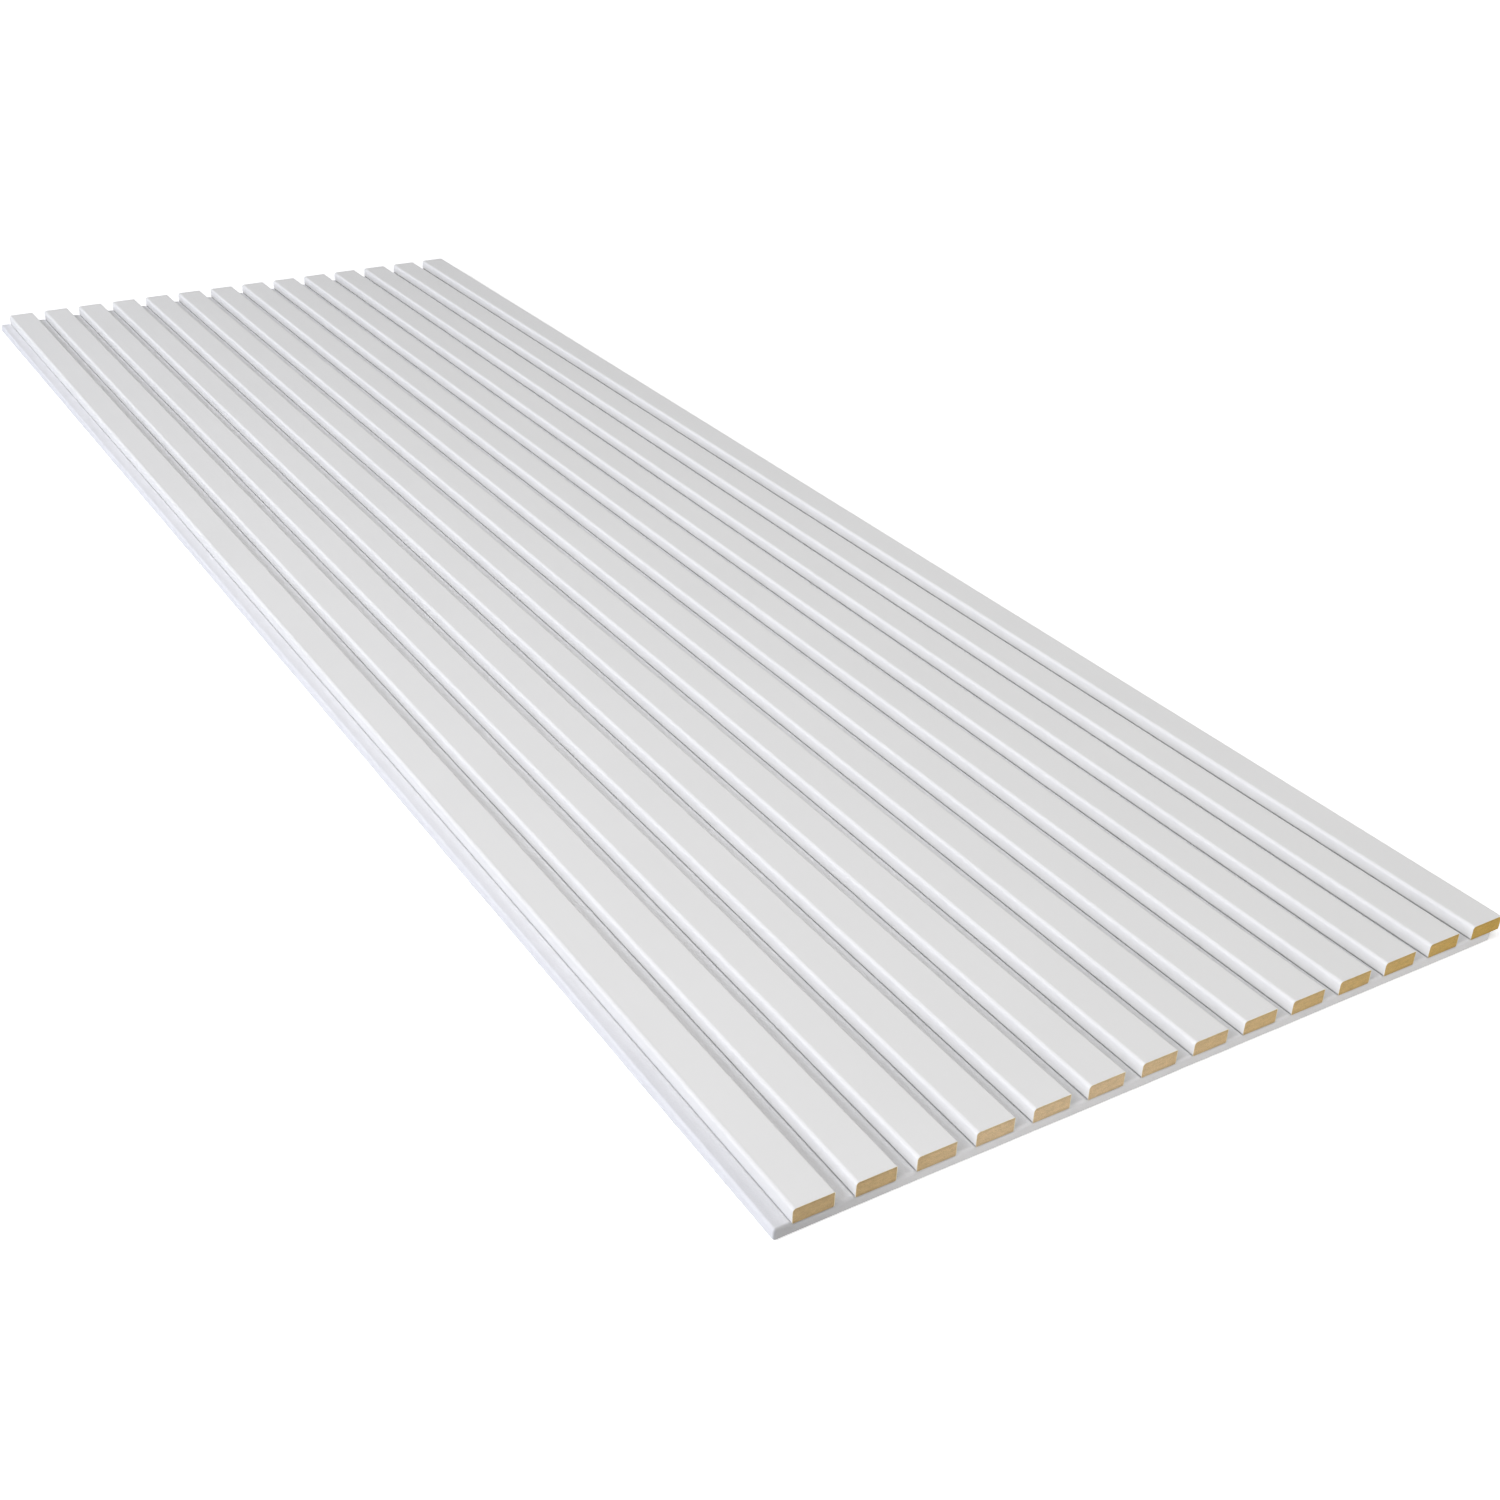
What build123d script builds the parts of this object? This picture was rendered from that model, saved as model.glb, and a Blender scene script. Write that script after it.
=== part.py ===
from build123d import *
import os

# A slatted acoustic wall panel, lying on its back: fibreboard slats, each wrapped in white foil and
# sawn to length, are glued side by side on one sheet of felt. The origin is the middle of the back
# face, +X runs across the slats, +Y along them, and +Z from the felt up to the faces of the slats.
# The near end, at -Y, shows the sawn cores. Sizes are in millimetres.

# Driving dimensions
PANEL_LENGTH = 1800.0      # slats and felt, sawn off together at both ends
SLAT_COUNT = 14
SLAT_GAP = 14.2            # clear space between two wrapped slats
CORE_WIDTH = 28.0          # fibreboard core of one slat, before it is wrapped
CORE_HEIGHT = 10.6
NOSE_RADIUS = 2.1          # left upper edge of the core, planed round
ARRIS_RADIUS = 0.4         # right upper edge of the core, only eased
FOIL_THICKNESS = 0.4       # wrap over the left side, the top and the right side of the core
FELT_THICKNESS = 8.0
FELT_LIP = 12.0            # felt left bare beyond the first slat
SLAT_OVERHANG = 6.5        # reach of the last slat beyond the felt
FELT_CORNER_RADIUS = 2.0   # corners of the felt sheet, seen from above

# Sizes that follow from them
SLAT_WIDTH = CORE_WIDTH + 2 * FOIL_THICKNESS
SLAT_HEIGHT = CORE_HEIGHT + FOIL_THICKNESS
SLAT_PITCH = SLAT_WIDTH + SLAT_GAP
PANEL_WIDTH = FELT_LIP + (SLAT_COUNT - 1) * SLAT_PITCH + SLAT_WIDTH
FELT_WIDTH = PANEL_WIDTH - SLAT_OVERHANG
LEFT_EDGE = -PANEL_WIDTH / 2
FAR_END = PANEL_LENGTH / 2


def slat_section(width, height, nose_radius, arris_radius):
    """Section seen from the near end, its foot centred on the origin: a flat bar with a round left
    upper edge and an eased right one."""
    bar = Rectangle(width, height, align=(Align.CENTER, Align.MIN))
    nose = bar.vertices().group_by(Axis.Y)[-1].sort_by(Axis.X)[0]
    rounded = fillet(nose, nose_radius)
    arris = rounded.vertices().group_by(Axis.Y)[-1].sort_by(Axis.X)[-1]
    return fillet(arris, arris_radius)


def run_along_panel(section, middle_x):
    """Carry a section along the whole panel, standing on the felt with its foot at middle_x."""
    far_plane = Plane(origin=(middle_x, FAR_END, FELT_THICKNESS), x_dir=(1, 0, 0), z_dir=(0, -1, 0))
    return extrude(far_plane * section, PANEL_LENGTH)


def felt_backing():
    """The felt sheet that carries the slats: cut square, with slightly blunted corners."""
    sheet = RectangleRounded(
        FELT_WIDTH, PANEL_LENGTH, FELT_CORNER_RADIUS, align=(Align.MIN, Align.CENTER)
    )
    return extrude(Pos(LEFT_EDGE, 0) * sheet, FELT_THICKNESS)


core_section = slat_section(CORE_WIDTH, CORE_HEIGHT, NOSE_RADIUS, ARRIS_RADIUS)

# The foil lies tight on the core, so its outer corners are the core's, grown by its thickness. It
# stops at the felt, which leaves the foot of the core bare for the glue.
wrapped_section = slat_section(
    SLAT_WIDTH, SLAT_HEIGHT, NOSE_RADIUS + FOIL_THICKNESS, ARRIS_RADIUS + FOIL_THICKNESS
)
foil_section = wrapped_section - core_section

os.makedirs("parts", exist_ok=True)
export_step(felt_backing(), "parts/felt_backing.step")
for number in range(SLAT_COUNT):
    slat_middle = LEFT_EDGE + FELT_LIP + SLAT_WIDTH / 2 + number * SLAT_PITCH
    export_step(run_along_panel(core_section, slat_middle), f"parts/slat_core_{number + 1:02d}.step")
    export_step(run_along_panel(foil_section, slat_middle), f"parts/slat_wrap_{number + 1:02d}.step")
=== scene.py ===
import math

import bpy
import numpy as np
from mathutils import Matrix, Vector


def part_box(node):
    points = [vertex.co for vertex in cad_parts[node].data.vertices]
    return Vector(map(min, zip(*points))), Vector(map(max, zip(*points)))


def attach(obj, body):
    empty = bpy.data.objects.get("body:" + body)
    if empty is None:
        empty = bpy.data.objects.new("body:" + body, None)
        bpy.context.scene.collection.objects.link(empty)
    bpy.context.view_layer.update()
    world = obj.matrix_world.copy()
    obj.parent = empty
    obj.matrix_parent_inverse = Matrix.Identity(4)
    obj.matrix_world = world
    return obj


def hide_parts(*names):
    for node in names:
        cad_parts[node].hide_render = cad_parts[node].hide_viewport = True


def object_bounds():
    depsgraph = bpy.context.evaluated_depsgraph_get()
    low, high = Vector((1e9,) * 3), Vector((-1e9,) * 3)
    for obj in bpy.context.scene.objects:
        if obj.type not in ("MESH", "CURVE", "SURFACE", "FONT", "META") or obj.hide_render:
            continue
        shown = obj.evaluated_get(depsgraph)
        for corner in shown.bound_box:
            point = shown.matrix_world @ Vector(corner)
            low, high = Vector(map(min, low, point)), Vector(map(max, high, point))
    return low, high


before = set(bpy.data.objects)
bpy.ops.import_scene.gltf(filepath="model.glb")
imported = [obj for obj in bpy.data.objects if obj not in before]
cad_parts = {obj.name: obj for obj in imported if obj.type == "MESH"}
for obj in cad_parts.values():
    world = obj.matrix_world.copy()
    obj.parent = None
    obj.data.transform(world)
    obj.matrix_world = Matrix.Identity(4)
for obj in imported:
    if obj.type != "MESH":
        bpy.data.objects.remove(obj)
cad_low, cad_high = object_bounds()

# Felt backing: one flat sheet of pressed white polyester felt, cut to size with a blade. Every slat is
# glued to it and the panel lies on it. Its cut edges are soft and not quite straight, and it swells up a
# little between the slats. Painted shade makes it darker at the near end, at the left corners of its cut
# ends and on its long sides.
MM = 0.001
SLAT_COUNT = 14
SLAT_NUMBERS = [f"{number + 1:02d}" for number in range(SLAT_COUNT)]
SHARP_ANGLE = math.radians(35)  # faces that meet more sharply than this show an edge
STRAY_WAVES = np.array([310, 130, 57, 26, 15]) * MM     # lengths of the waves in a cut line
EDGE_STEPS = 4                  # steps of the mesh over a soft edge, a swell or a strayed end
FELT_SIDE_ROWS = 8              # rows of the mesh down the long sides
FELT_CELL = 8.0 * MM            # spacing of the mesh along the sheet
FELT_SOFT_EDGE = 2.0 * MM       # radius of the soft edges
FELT_END_TURN = 80.0            # degrees that the soft edge of an end turns, from its flat cut on
FELT_END_LOOPS = 6
FELT_STRAY = 0.25 * MM          # how far a cut edge strays from a straight line
FELT_STRAY_REACH = 12.0 * MM    # how far into the sheet a stray of its ends is felt
FELT_SWELL = 1.0 * MM           # how far the felt swells up where no slat presses it down
FELT_SWELL_REACH = 2.5 * MM     # distance from a slat over which it does so
FELT_COLOUR = (0.75, 0.752, 0.77)
FELT_ROUGHNESS = 0.95
FELT_SPECULAR = 0.15
FELT_SHEEN = 0.12
FELT_NEAR_PAINTED_SHADE = 0.87          # painted shade: brightness of the upper face at the near end
FELT_NEAR_REACH = 300.0 * MM    # length along the sheet over which that grey runs out
FELT_CORNER_PAINTED_SHADE = 0.60        # painted shade: brightness of the cut ends at the left corners
FELT_CORNER_REACH = 110.0 * MM  # width of the sheet over which that grey runs out
FELT_SIDE_PAINTED_SHADE = 0.96          # painted shade: brightness of the long sides
FELT_EDGE_FACING = (0.2, 0.8)   # part of the normal over which a face turns into a side or an end
FELT_THREADS = {"Scale": 950.0, "Width": 0.06}
FELT_THREAD_TONES = (0.985, 1.015)
FELT_THREAD_BUMP = {"Strength": 0.22, "Distance": 0.12 * MM}
FELT_PATCHES = {"Scale": 55.0, "Spread": 0.02}
FELT_GRAIN = {"Scale": 1300.0, "Spread": 0.03}
felt_low, felt_high = (np.array(corner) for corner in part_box("felt_backing"))
felt_random = np.random.default_rng(11)
slat_sides = np.array([[corner.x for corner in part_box(f"slat_wrap_{number}")] for number in SLAT_NUMBERS])


def mesh_piece(name, points, faces):
    """One object at the origin from arrays of points and faces, smooth except across sharp edges."""
    mesh = bpy.data.meshes.new(name)
    mesh.from_pydata(points.tolist(), [], faces.tolist())
    mesh.polygons.foreach_set("use_smooth", np.ones(len(faces), bool))
    mesh.set_sharp_from_angle(angle=SHARP_ANGLE)
    mesh.update()
    piece = bpy.data.objects.new(name, mesh)
    bpy.context.scene.collection.objects.link(piece)
    return piece


def bar_mesh(name, loops, columns, rows, end_relief=0.0):
    """A closed bar. Each loop is one cross-section, given once round from its upper left corner:
    columns steps along the upper side, rows steps down the right side, back along the lower side and
    up the left side. Quads join loop to loop. Each end is a Coons patch, the sum of the blends of its
    two pairs of opposite sides, less the blend of its corners, sunk by end_relief between the edges."""
    stations, size, _ = loops.shape
    number = np.arange(stations * size).reshape(stations, size)
    beside = np.roll(number, -1, axis=1)
    faces = [np.stack([number[:-1], beside[:-1], beside[1:], number[1:]], axis=-1).reshape(-1, 4)]
    points = [loops.reshape(-1, 3)]
    across = np.linspace(0, 1, columns + 1)[None, :, None]
    down = np.linspace(0, 1, rows + 1)[:, None, None]
    inner_size = (rows - 1, columns - 1)
    corner_places = [columns, columns + rows, 2 * columns + rows]
    for end, inward in ((0, 1), (stations - 1, -1)):
        sides = np.split(np.append(number[end], number[end, 0]), corner_places)
        upper = np.append(sides[0], sides[1][0])
        right = np.append(sides[1], sides[2][0])
        lower = np.append(sides[2], sides[3][0])[::-1]
        left = sides[3][::-1]
        ring = points[0]
        corners = (1 - across) * ((1 - down) * ring[upper[0]] + down * ring[lower[0]])
        corners = corners + across * ((1 - down) * ring[upper[-1]] + down * ring[lower[-1]])
        patch = (1 - down) * ring[upper][None] + down * ring[lower][None]
        patch = patch + (1 - across) * ring[left][:, None] + across * ring[right][:, None] - corners
        patch[..., 1] += inward * end_relief
        first = sum(len(block) for block in points)
        grid = np.empty((rows + 1, columns + 1), int)
        grid[1:-1, 1:-1] = first + np.arange(math.prod(inner_size)).reshape(inner_size)
        grid[0], grid[-1] = upper, lower
        grid[:, 0], grid[:, -1] = left, right
        points.append(patch[1:-1, 1:-1].reshape(-1, 3))
        cap = np.stack([grid[:-1, :-1], grid[1:, :-1], grid[1:, 1:], grid[:-1, 1:]], axis=-1)
        faces.append(cap.reshape(-1, 4)[:, ::inward])
    return mesh_piece(name, np.concatenate(points), np.concatenate(faces))


def spaced(low, high, edge, cell):
    """Positions from low to high: equal close steps over edge at each end, about cell apart between."""
    close = np.linspace(0, edge, EDGE_STEPS + 1)
    middle = np.linspace(low + edge, high - edge, round((high - low - 2 * edge) / cell) + 1)
    return np.concatenate([low + close[:-1], middle, high - close[-2::-1]])


def stray(along, reach, random):
    """A line that isn't quite straight: the mean of sine waves of falling length, times reach."""
    phases = random.uniform(0, 2 * math.pi, len(STRAY_WAVES))
    return reach * np.sin(2 * math.pi * along[..., None] / STRAY_WAVES + phases).mean(axis=-1)


def felt_columns():
    """Positions across the sheet: close steps over each soft edge and each swell, none under the slats."""
    steps = np.linspace(0, 1, EDGE_STEPS + 1)
    soft = FELT_SOFT_EDGE * steps
    swell = FELT_SWELL_REACH * steps**2
    beside = np.concatenate([slat_sides[:, :1] - swell, slat_sides[:, 1:] + swell]).ravel()
    free = beside[(beside > felt_low[0] + FELT_SOFT_EDGE) & (beside < felt_high[0] - FELT_SOFT_EDGE)]
    return np.unique(np.concatenate([felt_low[0] + soft, free, felt_high[0] - soft]))


def felt_swell(x):
    """How far the sheet stands above the slats' feet: nothing under a slat, then up a quarter ellipse."""
    aside = np.maximum(slat_sides[:, 0] - x[:, None], x[:, None] - slat_sides[:, 1]).min(axis=1)
    share = np.clip(aside / FELT_SWELL_REACH, 0, 1)
    return FELT_SWELL * np.sqrt(1 - (1 - share) ** 2)


def felt_sheet():
    """A slab with round edges. A point of its plain box outline is moved on to the ball of radius
    FELT_SOFT_EDGE about the nearest point of the box that lies that far inside, so flat faces stay
    flat and edges turn round. At each end the sections shrink along the same quarter circle. The
    upper face is lifted by felt_swell, and the sides and ends are moved by stray."""
    xs = felt_columns()
    zs = np.linspace(felt_high[2], felt_low[2], FELT_SIDE_ROWS + 1)
    upper = np.column_stack([xs[:-1], np.full(len(xs) - 1, felt_high[2])])
    right = np.column_stack([np.full(FELT_SIDE_ROWS, felt_high[0]), zs[:-1]])
    lower = np.column_stack([xs[:0:-1], np.full(len(xs) - 1, felt_low[2])])
    left = np.column_stack([np.full(FELT_SIDE_ROWS, felt_low[0]), zs[:0:-1]])
    outline = np.concatenate([upper, right, lower, left])
    inside = np.clip(outline, felt_low[[0, 2]] + FELT_SOFT_EDGE, felt_high[[0, 2]] - FELT_SOFT_EDGE)
    outward = (outline - inside) / np.linalg.norm(outline - inside, axis=1, keepdims=True)
    turn = np.radians(np.linspace(FELT_END_TURN, 0, FELT_END_LOOPS))
    run = spaced(felt_low[1] + FELT_SOFT_EDGE, felt_high[1] - FELT_SOFT_EDGE, FELT_STRAY_REACH, FELT_CELL)
    from_end = FELT_SOFT_EDGE * (1 - np.sin(turn))
    ys = np.concatenate([felt_low[1] + from_end, run[1:-1], felt_high[1] - from_end[::-1]])
    size = np.full(len(ys), FELT_SOFT_EDGE)
    size[:FELT_END_LOOPS] = FELT_SOFT_EDGE * np.cos(turn)
    size[-FELT_END_LOOPS:] = size[:FELT_END_LOOPS][::-1]
    loops = np.empty((len(ys), len(outline), 3))
    loops[..., [0, 2]] = inside + size[:, None, None] * outward
    loops[..., 1] = ys[:, None]
    swell = felt_swell(outline[:, 0]) * np.clip(outward[:, 1], 0, 1)
    loops[..., 2] += swell * (size / FELT_SOFT_EDGE)[:, None]
    sideways = stray(ys, FELT_STRAY, felt_random)[:, None]
    loops[..., 0] += np.abs(outward[:, 0]) * sideways
    for end in (0, -1):
        pull = np.clip(1 - np.abs(ys - ys[end]) / FELT_STRAY_REACH, 0, 1)
        loops[..., 1] += pull[:, None] * stray(outline[:, 0], FELT_STRAY, felt_random)
    return bar_mesh("felt_sheet", loops, len(xs) - 1, FELT_SIDE_ROWS)


def add_node(tree, kind, inputs=None, **settings):
    """Place a shader node. An input given another node's socket is joined to it, any other is set."""
    made = tree.nodes.new(kind)
    for name, value in settings.items():
        setattr(made, name, value)
    for name, value in (inputs or {}).items():
        if isinstance(value, bpy.types.NodeSocket):
            tree.links.new(value, made.inputs[name])
        else:
            made.inputs[name].default_value = value
    return made


def worked(tree, operation, *values):
    """The result of one arithmetic operation on values."""
    return add_node(tree, "ShaderNodeMath", dict(enumerate(values)), operation=operation).outputs[0]


def product(tree, first, *others):
    """Values multiplied one after another."""
    for other in others:
        first = worked(tree, "MULTIPLY", first, other)
    return first


def passing(tree, value, limits, tones, run="LINEAR"):
    """A tone that goes from the first of tones to the second while value goes through limits."""
    ends = {"From Min": limits[0], "From Max": limits[1], "To Min": tones[0], "To Max": tones[1]}
    return add_node(tree, "ShaderNodeMapRange", {"Value": value, **ends}, interpolation_type=run).outputs[0]


def parts_of(tree, vector):
    """The X, Y and Z of a vector."""
    return add_node(tree, "ShaderNodeSeparateXYZ", {0: vector}).outputs


def facing(tree):
    """The X, Y and Z of the direction that the surface faces."""
    return parts_of(tree, add_node(tree, "ShaderNodeNewGeometry").outputs["Normal"])


def tinted(tree, colour, tone):
    """One colour made lighter or darker by a tone."""
    scaled = add_node(tree, "ShaderNodeVectorMath", {0: colour, "Scale": tone}, operation="SCALE")
    return scaled.outputs[0]


def node_group(name, inputs, outputs):
    """An empty shader group with these named sockets, and its two end nodes."""
    group = bpy.data.node_groups.new(name, "ShaderNodeTree")
    for socket, kind in inputs.items():
        group.interface.new_socket(socket, in_out="INPUT", socket_type=kind)
    for socket, kind in outputs.items():
        group.interface.new_socket(socket, in_out="OUTPUT", socket_type=kind)
    return group, group.nodes.new("NodeGroupInput").outputs, group.nodes.new("NodeGroupOutput").inputs


NOISE_MIDDLE = 0.5              # the value that a noise strays from
PATCH_GAIN = 4.0                # brings the usual stray of a noise to about 1 either way
PATCH_NOISE = {"Detail": 3.0, "Roughness": 0.55}


def uneven_tone_group():
    """Tone is 1 on average and strays by Spread either way, in soft patches of 1 / Scale metres."""
    group, given, gives = node_group(
        "uneven tone",
        {"Vector": "NodeSocketVector", "Scale": "NodeSocketFloat", "Spread": "NodeSocketFloat"},
        {"Tone": "NodeSocketFloat"},
    )
    place = {"Vector": given["Vector"], "Scale": given["Scale"]}
    patches = add_node(group, "ShaderNodeTexNoise", {**place, **PATCH_NOISE}).outputs[0]
    strayed = product(group, worked(group, "SUBTRACT", patches, NOISE_MIDDLE), PATCH_GAIN)
    group.links.new(worked(group, "MULTIPLY_ADD", strayed, given["Spread"], 1.0), gives["Tone"])
    return group


FIBRE_LAYERS = 3
FIBRE_SHIFT = np.array([0.31, 0.17, 0.23])  # from one layer to the next, in metres
FIBRE_TURN = np.array([0.4, 0.7, 1.1])      # from one layer to the next, in radians
FIBRE_STRETCH = (1.0, 0.45, 1.0)
FIBRE_NOISE = {"Detail": 1.5, "Distortion": 0.8}


def fibre_tangle_group():
    """Fibres are where a warped noise crosses its middle value, which draws thin wandering lines.
    Height is the highest of a few such layers, turned and shifted against each other."""
    group, given, gives = node_group(
        "fibre tangle",
        {"Vector": "NodeSocketVector", "Scale": "NodeSocketFloat", "Width": "NodeSocketFloat"},
        {"Height": "NodeSocketFloat"},
    )
    threads = []
    for layer in range(FIBRE_LAYERS):
        lay = {"Location": layer * FIBRE_SHIFT, "Rotation": layer * FIBRE_TURN, "Scale": FIBRE_STRETCH}
        turned = add_node(group, "ShaderNodeMapping", {"Vector": given["Vector"], **lay}).outputs[0]
        place = {"Vector": turned, "Scale": given["Scale"]}
        noise = add_node(group, "ShaderNodeTexNoise", {**place, **FIBRE_NOISE}).outputs[0]
        away = worked(group, "ABSOLUTE", worked(group, "SUBTRACT", noise, NOISE_MIDDLE))
        threads.append(passing(group, away, (0.0, given["Width"]), (1.0, 0.0), "SMOOTHSTEP"))
    height = threads[0]
    for thread in threads[1:]:
        height = worked(group, "MAXIMUM", height, thread)
    group.links.new(height, gives["Height"])
    return group


uneven_tone = uneven_tone_group()
fibre_tangle = fibre_tangle_group()


def pattern(tree, group, place, values):
    """Place a shader group in a material, with its own values."""
    return add_node(tree, "ShaderNodeGroup", node_tree=group, inputs={"Vector": place, **values}).outputs[0]


def new_material(name):
    """A material with only a Principled shader, and the Object coordinates that its patterns read."""
    material = bpy.data.materials.new(name)
    material.use_nodes = True
    tree = material.node_tree
    place = add_node(tree, "ShaderNodeTexCoord").outputs["Object"]
    return material, tree, tree.nodes["Principled BSDF"], place


def felt_material():
    """Matt pressed fibre: a tangle of threads over soft patches. Painted shade makes the upper face darker
    towards the near end and the cut ends towards their left corners, and the long sides have their own
    painted shade."""
    material, tree, shader, place = new_material("pressed_felt")
    threads = pattern(tree, fibre_tangle, place, FELT_THREADS)
    patches = pattern(tree, uneven_tone, place, FELT_PATCHES)
    grain = pattern(tree, uneven_tone, place, FELT_GRAIN)
    lit_threads = passing(tree, threads, (0.0, 1.0), FELT_THREAD_TONES)
    spot = parts_of(tree, place)
    near_end = (felt_low[1], felt_low[1] + FELT_NEAR_REACH)
    left_corner = (felt_low[0], felt_low[0] + FELT_CORNER_REACH)
    # Painted shade: the upper face darker towards the near end.
    upper = passing(tree, spot["Y"], near_end, (FELT_NEAR_PAINTED_SHADE, 1.0))
    # Painted shade: the cut ends darker towards the left corners.
    cut = passing(tree, spot["X"], left_corner, (FELT_CORNER_PAINTED_SHADE, 1.0))
    normal = facing(tree)
    sideways = worked(tree, "ABSOLUTE", normal["X"])
    endwise = worked(tree, "ABSOLUTE", normal["Y"])
    # Painted shade: the faces turned sideways a little darker than the upper face.
    shade = passing(tree, sideways, FELT_EDGE_FACING, (upper, FELT_SIDE_PAINTED_SHADE))
    shade = passing(tree, endwise, FELT_EDGE_FACING, (shade, cut))
    tone = product(tree, patches, grain, shade, lit_threads)
    tree.links.new(tinted(tree, FELT_COLOUR, tone), shader.inputs["Base Color"])
    bump = add_node(tree, "ShaderNodeBump", {"Height": threads, **FELT_THREAD_BUMP})
    tree.links.new(bump.outputs[0], shader.inputs["Normal"])
    shader.inputs["Roughness"].default_value = FELT_ROUGHNESS
    shader.inputs["Specular IOR Level"].default_value = FELT_SPECULAR
    shader.inputs["Sheen Weight"].default_value = FELT_SHEEN
    return material


felt = felt_sheet()
felt.data.materials.append(felt_material())
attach(felt, "root")
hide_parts("felt_backing")

# Slat cores: bars of medium density fibreboard, planed with one round and one eased upper edge, and
# sawn off flush with the felt. Their bare feet are glued to it. Only the sawn ends show: short fibres
# pressed flat, denser and darker towards the faces, yellower in the boards on the right.
CORE_NOSE = 2.1 * MM
CORE_ARRIS = 0.4 * MM
CORE_TEAR = 0.10 * MM           # how deep the saw tears the sawn face
CORE_FOOT_EASE = 0.4 * MM       # how far the lower edges are planed in
FOOT_RISE = 2.0 * MM            # height of the planed-in part above the felt
NOSE_STEPS = 12
ARRIS_STEPS = 5
CORE_ROWS = 12
CORE_ROW_CROWDING = 1.6         # power by which the rows of the mesh crowd towards the foot
CORE_FLAT_STEPS = 44
CORE_COLOUR = (0.67, 0.50, 0.296)
CORE_YELLOW = (0.555, 0.36, 0.09)
CORE_ROUGHNESS = 0.9
CORE_SPECULAR = 0.2
CORE_PRESSED = (1.0, 1.0, 2.6)  # how much finer the pattern is across the board than along it
CORE_FLECKS = {"Scale": 520.0, "Width": 0.09}
CORE_FLECK_TONES = (0.90, 1.12)
CORE_FLECK_BUMP = {"Strength": 0.5, "Distance": 0.15 * MM}
CORE_PATCHES = {"Scale": 160.0, "Spread": 0.12}
CORE_GRAIN = {"Scale": 1100.0, "Spread": 0.17}
CORE_DENSE_FROM = 0.30          # share of the height, from the middle, where the board gets denser
CORE_DENSE_TONE = 0.80          # brightness at its faces
CORE_WARM_RIGHT = (-50.0 * MM, 285.0 * MM)      # stretch across the panel where that painted shade runs out
CORE_WARM_LEFT = (-220.0 * MM, -150.0 * MM)     # stretch where the yellow of the left ones runs out
CORE_WARM_LEFT_SHARE = 0.3
# Painted shade: the sawn ends of the boards on the left are darker.
CORE_LEFT_SHADE_SPAN = (-270.0 * MM, -150.0 * MM)     # stretch where the boards on the left get brighter
CORE_LEFT_PAINTED_SHADE = 0.80
core_random = np.random.default_rng(23)


def slat_crown(width, height, nose, arris, flat_steps):
    """Upper outline of a slat's section, about the middle of its foot: from the left side round the
    nose by a quarter circle, across the top with points closer by both edges, and round the arris."""
    rise = np.linspace(0, math.pi / 2, NOSE_STEPS + 1)
    fall = np.linspace(math.pi / 2, 0, ARRIS_STEPS + 1)
    nose_x = -width / 2 + nose * (1 - np.cos(rise))
    nose_z = height - nose * (1 - np.sin(rise))
    arris_x = width / 2 - arris * (1 - np.cos(fall))
    arris_z = height - arris * (1 - np.sin(fall))
    share = (1 - np.cos(np.linspace(0, math.pi, flat_steps + 1)[1:-1])) / 2
    flat_x = nose_x[-1] + share * (arris_x[0] - nose_x[-1])
    flat_z = np.full(len(flat_x), height)
    x = np.concatenate([nose_x, flat_x, arris_x])
    z = np.concatenate([nose_z, flat_z, arris_z])
    return np.column_stack([x, z])


def along_panel(section, middle, foot, ys):
    """Carry a section along the panel: one loop of its points at each of ys."""
    loops = np.empty((len(ys), len(section), 3))
    loops[..., 0] = middle + section[:, 0]
    loops[..., 1] = ys[:, None]
    loops[..., 2] = foot + section[:, 1]
    return loops


def foot_ease(height, depth):
    """How far a slat's side is set in at a height above the felt: depth at the felt, and nothing from
    FOOT_RISE up, along a quarter ellipse."""
    below = np.clip(1 - height / FOOT_RISE, 0, 1)
    return depth * (1 - np.sqrt(1 - below**2))


def core_bar(number):
    """A core between its sawn ends: the crown above, straight sides with eased lower edges, a flat foot."""
    low, high = (np.array(corner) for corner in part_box(f"slat_core_{number}"))
    width, height = high[0] - low[0], high[2] - low[2]
    crown = slat_crown(width, height, CORE_NOSE, CORE_ARRIS, CORE_FLAT_STEPS)
    columns = len(crown) - 1
    rise = (height - CORE_NOSE) * np.linspace(0, 1, CORE_ROWS + 1)[:-1] ** CORE_ROW_CROWDING
    fall = (height - CORE_ARRIS) * np.linspace(1, 0, CORE_ROWS + 1)[:-1] ** CORE_ROW_CROWDING
    right = np.column_stack([width / 2 - foot_ease(fall, CORE_FOOT_EASE), fall])
    left = np.column_stack([foot_ease(rise, CORE_FOOT_EASE) - width / 2, rise])
    foot = np.column_stack([crown[:0:-1, 0] * (1 - 2 * CORE_FOOT_EASE / width), np.zeros(columns)])
    section = np.concatenate([crown[:-1], right, foot, left])
    loops = along_panel(section, (low[0] + high[0]) / 2, low[2], np.array([low[1], high[1]]))
    tear = CORE_TEAR * core_random.random((CORE_ROWS + 1, columns + 1))
    return bar_mesh(f"sawn_core_{number}", loops, columns, CORE_ROWS, tear)


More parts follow.
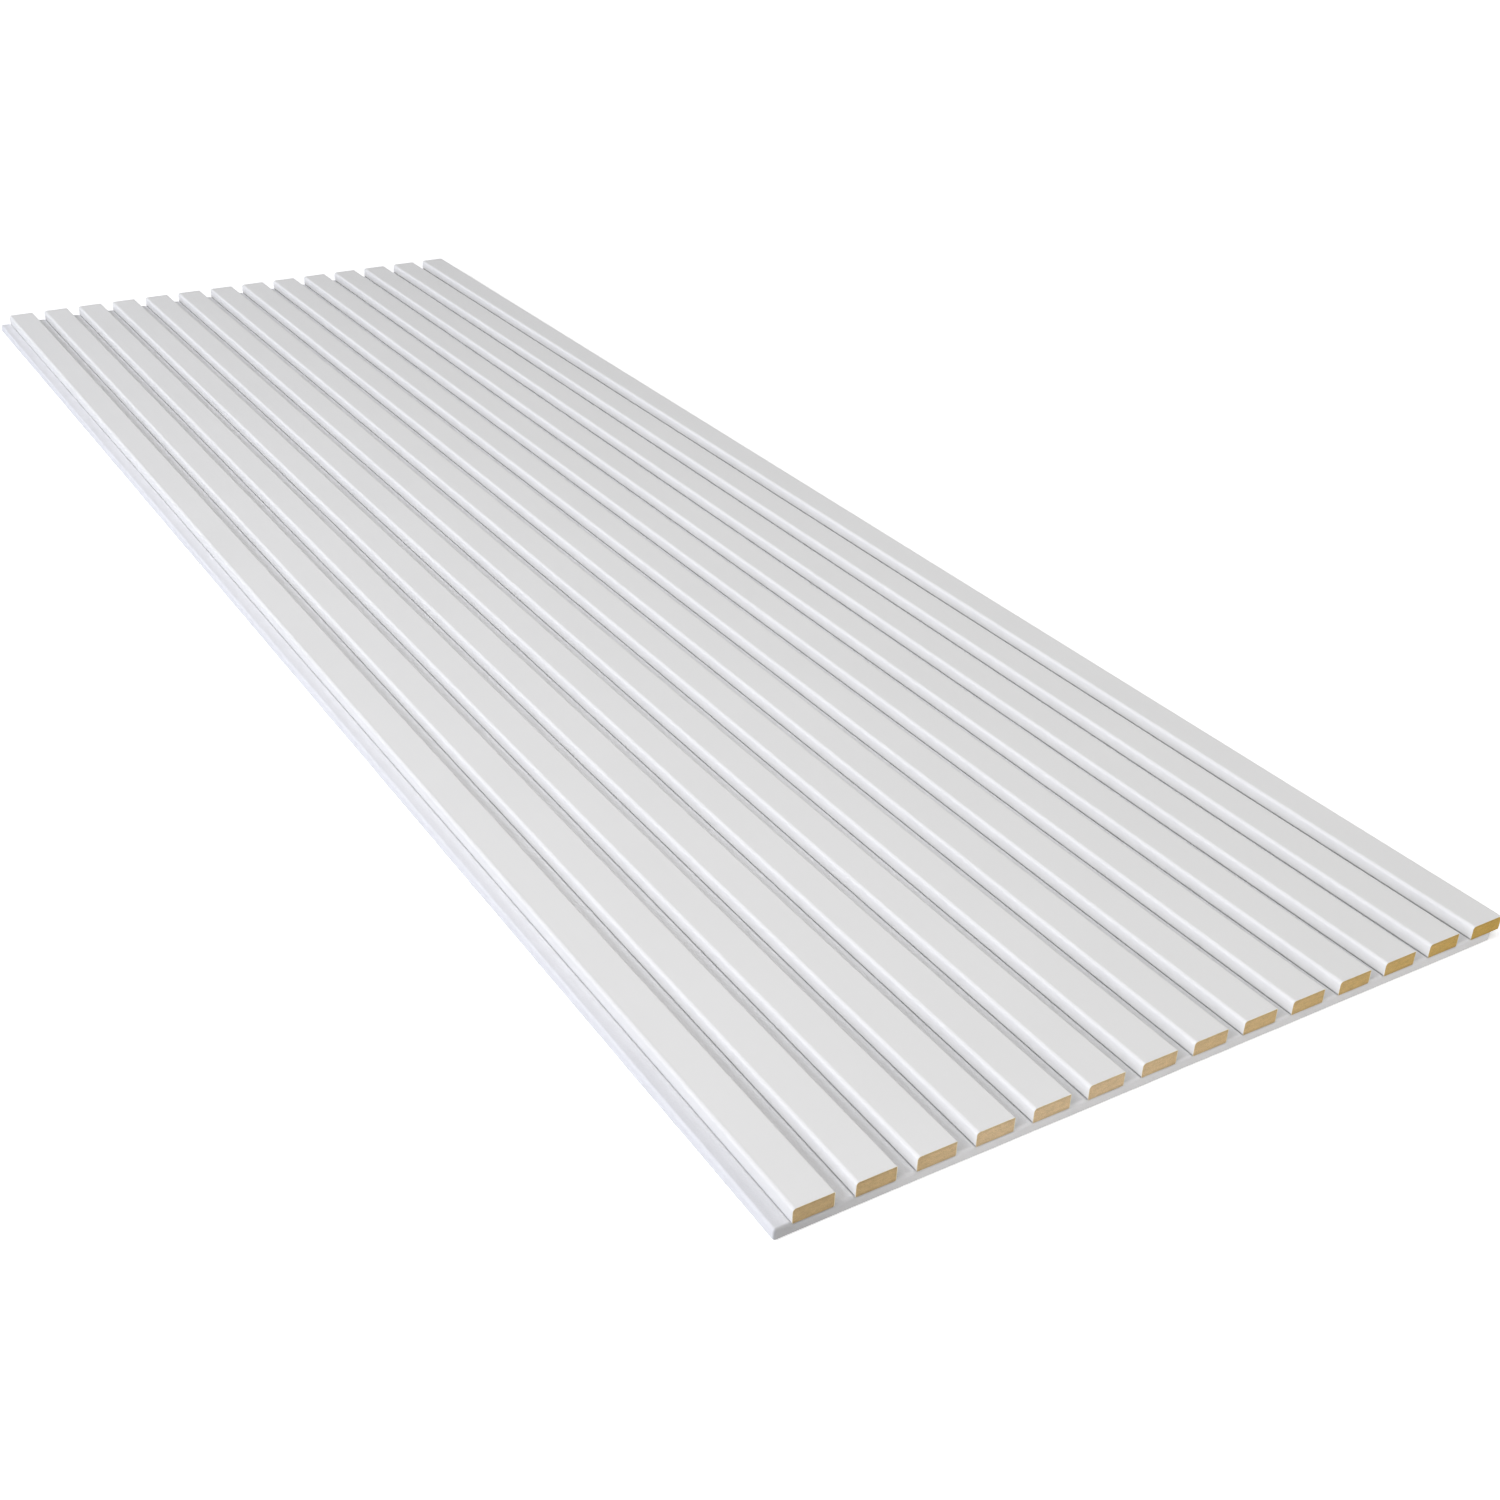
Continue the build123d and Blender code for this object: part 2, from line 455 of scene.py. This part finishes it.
def core_material():
    """Sawn fibreboard. Short flecks lie flat, the tone falls off towards the upper and lower faces as the
    board gets denser there, the colour goes from tan to yellow across the panel, and painted shade darkens
    the boards on the left."""
    material, tree, shader, place = new_material("sawn_fibreboard")
    low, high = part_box("slat_core_01")
    board = high.z - low.z
    pressed = add_node(tree, "ShaderNodeMapping", {"Vector": place, "Scale": CORE_PRESSED}).outputs[0]
    flecks = pattern(tree, fibre_tangle, pressed, CORE_FLECKS)
    patches = pattern(tree, uneven_tone, pressed, CORE_PATCHES)
    grain = pattern(tree, uneven_tone, pressed, CORE_GRAIN)
    lit_flecks = passing(tree, flecks, (0.0, 1.0), CORE_FLECK_TONES)
    spot = parts_of(tree, place)
    aside = worked(tree, "ABSOLUTE", worked(tree, "SUBTRACT", spot["Z"], (low.z + high.z) / 2))
    dense = passing(tree, aside, (CORE_DENSE_FROM * board, board / 2), (1.0, CORE_DENSE_TONE))
    # Painted shade on the sawn ends of the boards on the left.
    painted_left_shade = passing(tree, spot["X"], CORE_LEFT_SHADE_SPAN, (CORE_LEFT_PAINTED_SHADE, 1.0))
    tone = product(tree, patches, grain, dense, lit_flecks, painted_left_shade)
    warm_right = passing(tree, spot["X"], CORE_WARM_RIGHT, (0.0, 1.0))
    warm_left = passing(tree, spot["X"], CORE_WARM_LEFT, (CORE_WARM_LEFT_SHARE, 0.0))
    yellow = worked(tree, "ADD", warm_right, warm_left)
    warmer = np.subtract(CORE_YELLOW, CORE_COLOUR)
    colour = add_node(
        tree, "ShaderNodeVectorMath", {0: yellow, 1: warmer, 2: CORE_COLOUR}, operation="MULTIPLY_ADD"
    )
    tree.links.new(tinted(tree, colour.outputs[0], tone), shader.inputs["Base Color"])
    bump = add_node(tree, "ShaderNodeBump", {"Height": flecks, **CORE_FLECK_BUMP})
    tree.links.new(bump.outputs[0], shader.inputs["Normal"])
    shader.inputs["Roughness"].default_value = CORE_ROUGHNESS
    shader.inputs["Specular IOR Level"].default_value = CORE_SPECULAR
    return material


sawn_fibreboard = core_material()
for number in SLAT_NUMBERS:
    core = core_bar(number)
    core.data.materials.append(sawn_fibreboard)
    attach(core, "root")
    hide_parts(f"slat_core_{number}")

# Slat wraps: satin white foil, drawn tight and glued over the left side, top and right side of each core,
# and sawn off with it. Its cut shows at the ends as a thin cream line round the tan core. Its lower edges
# turn in a little, which leaves a fine crease along the felt. Shade is painted on the foil: a dark line
# just above the felt, and darker tops, bends and outer left side.
FOIL_TURN_IN = 0.6 * MM         # how far the lower edge turns in under the slat
FOIL_FOOT_STEPS = 6
FOIL_SIDE_STEPS = 3
FOIL_FLAT_STEPS = 12
FOIL_CELL = 30.0 * MM           # spacing of the mesh along the slat
FOIL_COLOUR = (0.878, 0.875, 0.86)
FOIL_ROUGHNESS = 0.52
FOIL_SPECULAR = 0.14
FOIL_PATCHES = {"Scale": 9.0, "Spread": 0.012}
FOIL_GRAIN = {"Scale": 1400.0, "Spread": 0.003}
FOIL_GLOSS = {"Scale": 30.0, "Spread": 0.05}
FOIL_BEND_PAINTED_SHADE = 0.92           # painted shade: the foil is a little darker round the nose
FOIL_BEND_FACING = (0.3, 0.75)  # upward part of the normal over which it gets so
FOIL_TOP_PAINTED_SHADE = 0.925           # painted shade: the tops are a little darker too
FOIL_TOP_FACING = (0.8, 1.0)
FOIL_FOOT_PAINTED_SHADE = 0.33          # painted shade: brightness of the dark line in the crease along the felt
FOIL_OUTER_FOOT_PAINTED_SHADE = 0.75    # painted shade: the same line, lighter on the panel's outer left side
FOIL_OUTER_PAINTED_SHADE = 0.925        # painted shade: brightness of that side
FOIL_OUTER_REACH = 4.0 * MM
FOIL_CUT_COLOUR = (0.86, 0.78, 0.58)
FOIL_CUT_ROUGHNESS = 0.7
FOIL_CUT_GRAIN = {"Scale": 900.0, "Spread": 0.06}
FOIL_CUT_FACING = 0.9           # a face whose normal lies further along the slat than this is sawn


def foil_outline(width, height, thickness, inner):
    """Outline of the wrapped slat from left foot to right foot: up an eased foot, a quarter ellipse,
    up the side, over the crown and down again. The inner one lies the foil's thickness inside the
    outer one, with as many points, so that the thickness is a single row between them."""
    turn = np.linspace(0, math.pi / 2, FOIL_FOOT_STEPS + 1)
    inset = thickness if inner else 0.0
    half = width / 2 - inset
    nose = CORE_NOSE + thickness - inset
    arris = CORE_ARRIS + thickness - inset
    crown = slat_crown(2 * half, height - inset, nose, arris, FOIL_FLAT_STEPS)
    foot_z = FOOT_RISE * (1 - np.cos(turn))
    foot_x = half - foot_ease(foot_z, CORE_FOOT_EASE if inner else FOIL_TURN_IN)
    rise = np.linspace(FOOT_RISE, crown[0, 1], FOIL_SIDE_STEPS + 1)[1:-1]
    fall = np.linspace(crown[-1, 1], FOOT_RISE, FOIL_SIDE_STEPS + 1)[1:-1]
    side_x = np.full(FOIL_SIDE_STEPS - 1, half)
    left = np.column_stack([np.append(-foot_x, -side_x), np.append(foot_z, rise)])
    right = np.column_stack([np.append(side_x, foot_x[::-1]), np.append(fall, foot_z[::-1])])
    return np.concatenate([left, crown, right])


def foil_wrap(number):
    """The foil as a bar whose section is bent over the core: outer outline above, inner one below."""
    low, high = (np.array(corner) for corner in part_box(f"slat_wrap_{number}"))
    core_low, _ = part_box(f"slat_core_{number}")
    width, height, thickness = high[0] - low[0], high[2] - low[2], core_low.x - low[0]
    outer = foil_outline(width, height, thickness, False)
    inner = foil_outline(width, height, thickness, True)
    section = np.concatenate([outer, inner[::-1]])
    ys = np.linspace(low[1], high[1], round((high[1] - low[1]) / FOIL_CELL) + 1)
    loops = along_panel(section, (low[0] + high[0]) / 2, low[2], ys)
    return bar_mesh(f"foil_wrap_{number}", loops, len(outer) - 1, 1)


def foil_material():
    """Satin white foil: a very fine grain, a faint unevenness in tone and gloss, and painted shade: darker
    tops and bends, a darker outer left side, and a dark line just above the felt."""
    material, tree, shader, place = new_material("white_foil")
    patches = pattern(tree, uneven_tone, place, FOIL_PATCHES)
    grain = pattern(tree, uneven_tone, place, FOIL_GRAIN)
    gloss = pattern(tree, uneven_tone, place, FOIL_GLOSS)
    spot = parts_of(tree, place)
    outer_side = (slat_sides[0, 0], slat_sides[0, 0] + FOIL_OUTER_REACH)
    # Painted shade: the panel's outer left side a little darker, and its foot line lighter.
    outer = passing(tree, spot["X"], outer_side, (FOIL_OUTER_PAINTED_SHADE, 1.0))
    painted_foot_shade = passing(tree, spot["X"], outer_side, (FOIL_OUTER_FOOT_PAINTED_SHADE, FOIL_FOOT_PAINTED_SHADE))
    # Painted shade: a dark line just above the felt, where the foot turns in.
    foot = passing(tree, spot["Z"], (felt_high[2], felt_high[2] + FOOT_RISE), (painted_foot_shade, 1.0), "SMOOTHSTEP")
    upward = facing(tree)["Z"]
    # Painted shade: the bends round the noses darker than the sides.
    painted_bend_shade = passing(tree, upward, FOIL_BEND_FACING, (1.0, FOIL_BEND_PAINTED_SHADE))
    # Painted shade: the upward faces darker than the sides.
    top = passing(tree, upward, FOIL_TOP_FACING, (1.0, FOIL_TOP_PAINTED_SHADE / FOIL_BEND_PAINTED_SHADE))
    tone = product(tree, patches, grain, foot, painted_bend_shade, top, outer)
    tree.links.new(tinted(tree, FOIL_COLOUR, tone), shader.inputs["Base Color"])
    tree.links.new(product(tree, gloss, FOIL_ROUGHNESS), shader.inputs["Roughness"])
    shader.inputs["Specular IOR Level"].default_value = FOIL_SPECULAR
    return material


def foil_cut_material():
    """The sawn edge of the foil: cream, matt, a little uneven."""
    material, tree, shader, place = new_material("foil_cut_edge")
    grain = pattern(tree, uneven_tone, place, FOIL_CUT_GRAIN)
    tree.links.new(tinted(tree, FOIL_CUT_COLOUR, grain), shader.inputs["Base Color"])
    shader.inputs["Roughness"].default_value = FOIL_CUT_ROUGHNESS
    return material


white_foil = foil_material()
foil_cut_edge = foil_cut_material()
for number in SLAT_NUMBERS:
    wrap = foil_wrap(number)
    wrap.data.materials.append(white_foil)
    wrap.data.materials.append(foil_cut_edge)
    normals = np.empty(3 * len(wrap.data.polygons))
    wrap.data.polygons.foreach_get("normal", normals)
    sawn = np.abs(normals.reshape(-1, 3)[:, 1]) > FOIL_CUT_FACING
    wrap.data.polygons.foreach_set("material_index", sawn.astype(np.int32))
    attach(wrap, "root")
    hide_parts(f"slat_wrap_{number}")

# Floor: a plain white studio floor that runs out of sight. It keeps the soft shadow of the panel, and
# turns into a white backdrop away from it.
FLOOR_HALF = 30.0
FLOOR_COLOUR = (0.90, 0.90, 0.90, 1.0)
FLOOR_GLOW = 0.55               # brightness that only the camera sees, beside the panel
BACKDROP_GLOW = 1.0             # the same away from it
BACKDROP_SPAN = (2.0, 1.0)      # widths and lengths of the panel that distances from it are measured in
BACKDROP_REACH = (0.7, 1.1)     # distance from its middle over which the floor becomes the backdrop
floor_corners = FLOOR_HALF * np.array([[-1, -1, 0], [1, -1, 0], [1, 1, 0], [-1, 1, 0]])
floor = mesh_piece("studio_floor", floor_corners, np.array([[0, 1, 2, 3]]))
floor_material = bpy.data.materials.new("studio_white")
floor_material.use_nodes = True
floor_tree = floor_material.node_tree
floor_tree.nodes.remove(floor_tree.nodes["Principled BSDF"])
floor_place = add_node(floor_tree, "ShaderNodeTexCoord").outputs["Object"]
panel_width, panel_length, _ = np.subtract(cad_high, cad_low)
in_panels = (1 / (BACKDROP_SPAN[0] * panel_width), 1 / (BACKDROP_SPAN[1] * panel_length), 0.0)
measured = add_node(floor_tree, "ShaderNodeMapping", {"Vector": floor_place, "Scale": in_panels}).outputs[0]
away = add_node(floor_tree, "ShaderNodeVectorMath", {0: measured}, operation="LENGTH").outputs["Value"]
backdrop = passing(floor_tree, away, BACKDROP_REACH, (FLOOR_GLOW, BACKDROP_GLOW), "SMOOTHSTEP")
floor_seen = add_node(floor_tree, "ShaderNodeLightPath").outputs["Is Camera Ray"]
glow = add_node(floor_tree, "ShaderNodeEmission", {"Strength": product(floor_tree, floor_seen, backdrop)})
matt_white = add_node(floor_tree, "ShaderNodeBsdfDiffuse", {"Color": FLOOR_COLOUR})
both = add_node(floor_tree, "ShaderNodeAddShader", {0: matt_white.outputs[0], 1: glow.outputs[0]})
floor_tree.links.new(both.outputs[0], floor_tree.nodes["Material Output"].inputs["Surface"])
floor.data.materials.append(floor_material)

# Light: a dim even room, and two long windows of soft light one above the other on the left, which make
# the left sides of the slats the brightest faces. A wide ceiling light is for their tops, and a low wide
# fill in front for the sawn ends.
ROOM_COLOUR = (0.93, 0.96, 1.0, 1.0)
ROOM_STRENGTH = 0.06
ROOM_WHITE = (1.0, 1.0, 1.0, 1.0)   # the background that the camera and gloss see
WINDOW_COLOUR = (0.947, 0.971, 1.082)
# Each soft light's place, the point that it faces and its size in metres, its watts and its colour.
SOFT_LIGHTS = {
    "low_window": ((-4.75, 0.4, 1.75), (0.0, 0.0, 0.0), (6.0, 1.2), 75.0, WINDOW_COLOUR),
    "high_window": ((-4.1, 0.4, 3.0), (0.0, 0.0, 0.0), (6.0, 1.2), 120.5, WINDOW_COLOUR),
    "ceiling_light": ((-1.0, -0.9, 3.5), (0.0, -0.3, 0.0), (3.3, 2.6), 78.6, (1.02, 1.005, 0.975)),
    "front_fill": ((1.9, -3.5, 0.65), (0.0, -0.9, 0.0), (6.0, 1.2), 55.0, (1.04, 1.01, 0.95)),
}

room = bpy.data.worlds.new("room")
bpy.context.scene.world = room
room.use_nodes = True
room_tree = room.node_tree
rays = add_node(room_tree, "ShaderNodeLightPath").outputs
seen = worked(room_tree, "MAXIMUM", rays["Is Camera Ray"], rays["Is Transmission Ray"])
seen = worked(room_tree, "MAXIMUM", seen, rays["Is Glossy Ray"])
ambient = add_node(room_tree, "ShaderNodeBackground", {"Color": ROOM_COLOUR, "Strength": ROOM_STRENGTH})
white = add_node(room_tree, "ShaderNodeBackground", {"Color": ROOM_WHITE})
choice = add_node(room_tree, "ShaderNodeMixShader", {0: seen, 1: ambient.outputs[0], 2: white.outputs[0]})
room_tree.links.new(choice.outputs[0], room_tree.nodes["World Output"].inputs["Surface"])


def turn_to(thing, place, aim, roll=0.0):
    """Stand a lamp or camera at place, looking at aim, turned by roll degrees about its own axis."""
    forward = np.subtract(aim, place)
    forward = forward / np.linalg.norm(forward)
    right = np.cross(forward, (0, 0, 1))
    right = right / np.linalg.norm(right)
    up = np.cross(right, forward)
    angle = math.radians(roll)
    turned_right = math.cos(angle) * right + math.sin(angle) * up
    turned_up = math.cos(angle) * up - math.sin(angle) * right
    pose = np.eye(4)
    pose[:3] = np.column_stack([turned_right, turned_up, -forward, place])
    thing.matrix_world = Matrix(pose.tolist())


def soft_light(name, place, aim, size, power, colour):
    """A rectangular lamp of this size, in metres and watts."""
    lamp = bpy.data.lights.new(name, "AREA")
    lamp.shape = "RECTANGLE"
    lamp.size, lamp.size_y = size
    lamp.energy = power
    lamp.color = colour
    stand = bpy.data.objects.new(name, lamp)
    bpy.context.scene.collection.objects.link(stand)
    turn_to(stand, place, aim)


for name, setting in SOFT_LIGHTS.items():
    soft_light(name, *setting)

# Camera: stands in front of the near left corner and looks down along the panel, as in the photograph.
CAMERA_AT = (-0.7482, -1.5399, 0.7708)
CAMERA_AIM = (-0.0575, -0.4099, 0.0)
CAMERA_ROLL = 1.616
CAMERA_SENSOR = 36.0
CAMERA_LENS = 45.69
CAMERA_SHIFT = (0.0337, -0.0008)
view = bpy.data.cameras.new("photo_view")
view.sensor_width = CAMERA_SENSOR
view.lens = CAMERA_LENS
view.shift_x, view.shift_y = CAMERA_SHIFT
camera = bpy.data.objects.new("photo_view", view)
bpy.context.scene.collection.objects.link(camera)
turn_to(camera, CAMERA_AT, CAMERA_AIM, CAMERA_ROLL)
bpy.context.scene.camera = camera
bpy.context.scene.view_settings.view_transform = "Standard"
